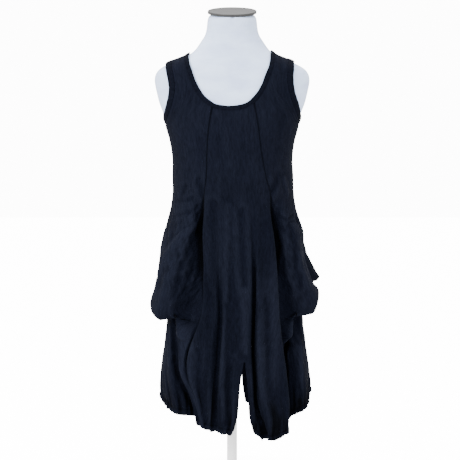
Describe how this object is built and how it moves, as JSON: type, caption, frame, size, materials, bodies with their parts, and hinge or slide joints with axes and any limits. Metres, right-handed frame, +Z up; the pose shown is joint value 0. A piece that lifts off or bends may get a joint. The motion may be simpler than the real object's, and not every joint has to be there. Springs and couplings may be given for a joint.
{
  "type": "draped knit dress on dress form",
  "caption": "Sleeveless scoop-neck knit dress with draped hip pouches and a gathered, slit hem, on a limbless dress form with a pole stand.",
  "frame": {"origin": "on the floor, at the middle of the stand's round foot", "axes": "+Z up, the dress faces -Y, +X is the wearer's left"},
  "size_m": [0.4105, 0.35, 1.4028],
  "materials": {
    "knit": "crinkled dark navy knit",
    "binding": "smooth double knit",
    "form_cover": "fine white jersey",
    "plate": "matt grey",
    "stand": "satin white paint"
  },
  "bodies": {
    "root": {"front_centre": "knit", "front_side_left": "knit", "front_side_right": "knit", "back_centre": "knit", "back_side_left": "knit", "back_side_right": "knit", "neck_binding": "binding", "armhole_binding_left": "binding", "armhole_binding_right": "binding", "form_torso": "form_cover", "neck_plate": "plate", "stand_pole": "stand", "stand_base": "stand"}
  },
  "joints": []
}
